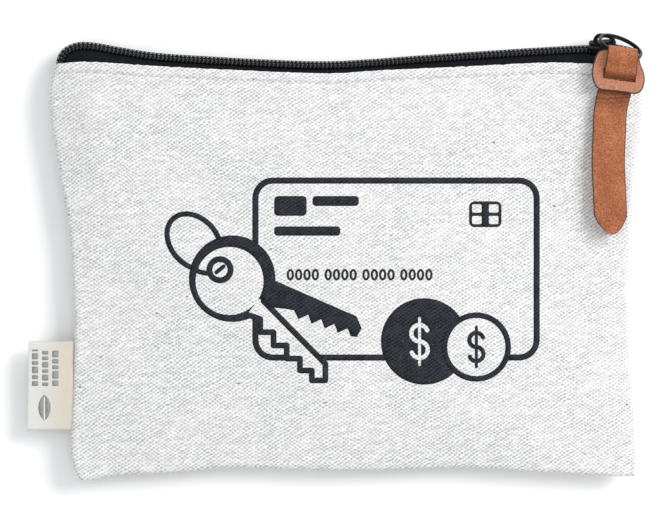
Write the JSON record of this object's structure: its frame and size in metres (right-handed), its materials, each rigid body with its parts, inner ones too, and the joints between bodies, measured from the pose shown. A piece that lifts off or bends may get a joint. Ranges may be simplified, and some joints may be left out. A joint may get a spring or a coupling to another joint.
{
  "type": "zippered pouch",
  "caption": "Flat canvas pouch with a coil zipper along its top, a slider with a split ring and folded leather pull, and a ribbon label in the side seam.",
  "frame": {"origin": "centre of the box's bottom face, on the surface that the pouch lies on", "axes": "+X along the zipper to the closed end, +Y across the panel to the zipper, +Z out of the front panel"},
  "size_m": [0.1868, 0.136, 0.019],
  "materials": {
    "canvas": "natural undyed cotton canvas, matte",
    "zipper_tape": "black woven tape, matte",
    "nylon_coil": "black nylon monofilament, satin",
    "filler_cord": "black knitted cord, matte",
    "cream_thread": "cream sewing thread, satin",
    "label_ribbon": "cream twill ribbon with a printed mark, satin",
    "black_enamel": "black enamel, semi-gloss",
    "black_ring": "black plated wire, glossy",
    "tan_leather": "tan vegetable-tanned leather, smooth grain side"
  },
  "bodies": {
    "pouch": {"front_panel": "canvas", "back_panel": "canvas", "front_tape": "zipper_tape", "back_tape": "zipper_tape", "front_coil": "nylon_coil", "back_coil": "nylon_coil", "front_coil_cord": "filler_cord", "back_coil_cord": "filler_cord", "front_topstitch": "cream_thread", "back_topstitch": "cream_thread", "seam_thread": "cream_thread"},
    "slider": {"slider_body": "black_enamel", "slider_crown": "black_enamel"},
    "ring": {"split_ring": "black_ring"},
    "pull": {"leather_pull": "tan_leather"},
    "label": {"side_label": "label_ribbon"}
  },
  "joints": [
    {"name": "slider_travel", "type": "slide", "parent": "pouch", "child": "slider", "axis": [1, 0, 0], "range_m": [-0.15, 0], "deforming": ["front_coil", "back_coil", "front_coil_cord", "back_coil_cord"]},
    {"name": "ring_swing", "type": "hinge", "parent": "slider", "child": "ring", "pos_m": [0.08068, 0.06635, 0.007], "axis": [-0.6721, -0.3304, 0.6626], "range_deg": [0, 90]},
    {"name": "pull_swing", "type": "hinge", "parent": "ring", "child": "pull", "pos_m": [0.0856, 0.06179, 0.01615], "axis": [0.9984, -0.0558, 0], "range_deg": [-150, 0]},
    {"name": "label_flap", "type": "hinge", "parent": "pouch", "child": "label", "pos_m": [-0.08088, -0.0389, 0.007], "axis": [0, 1, 0], "range_deg": [-30, 80]}
  ]
}
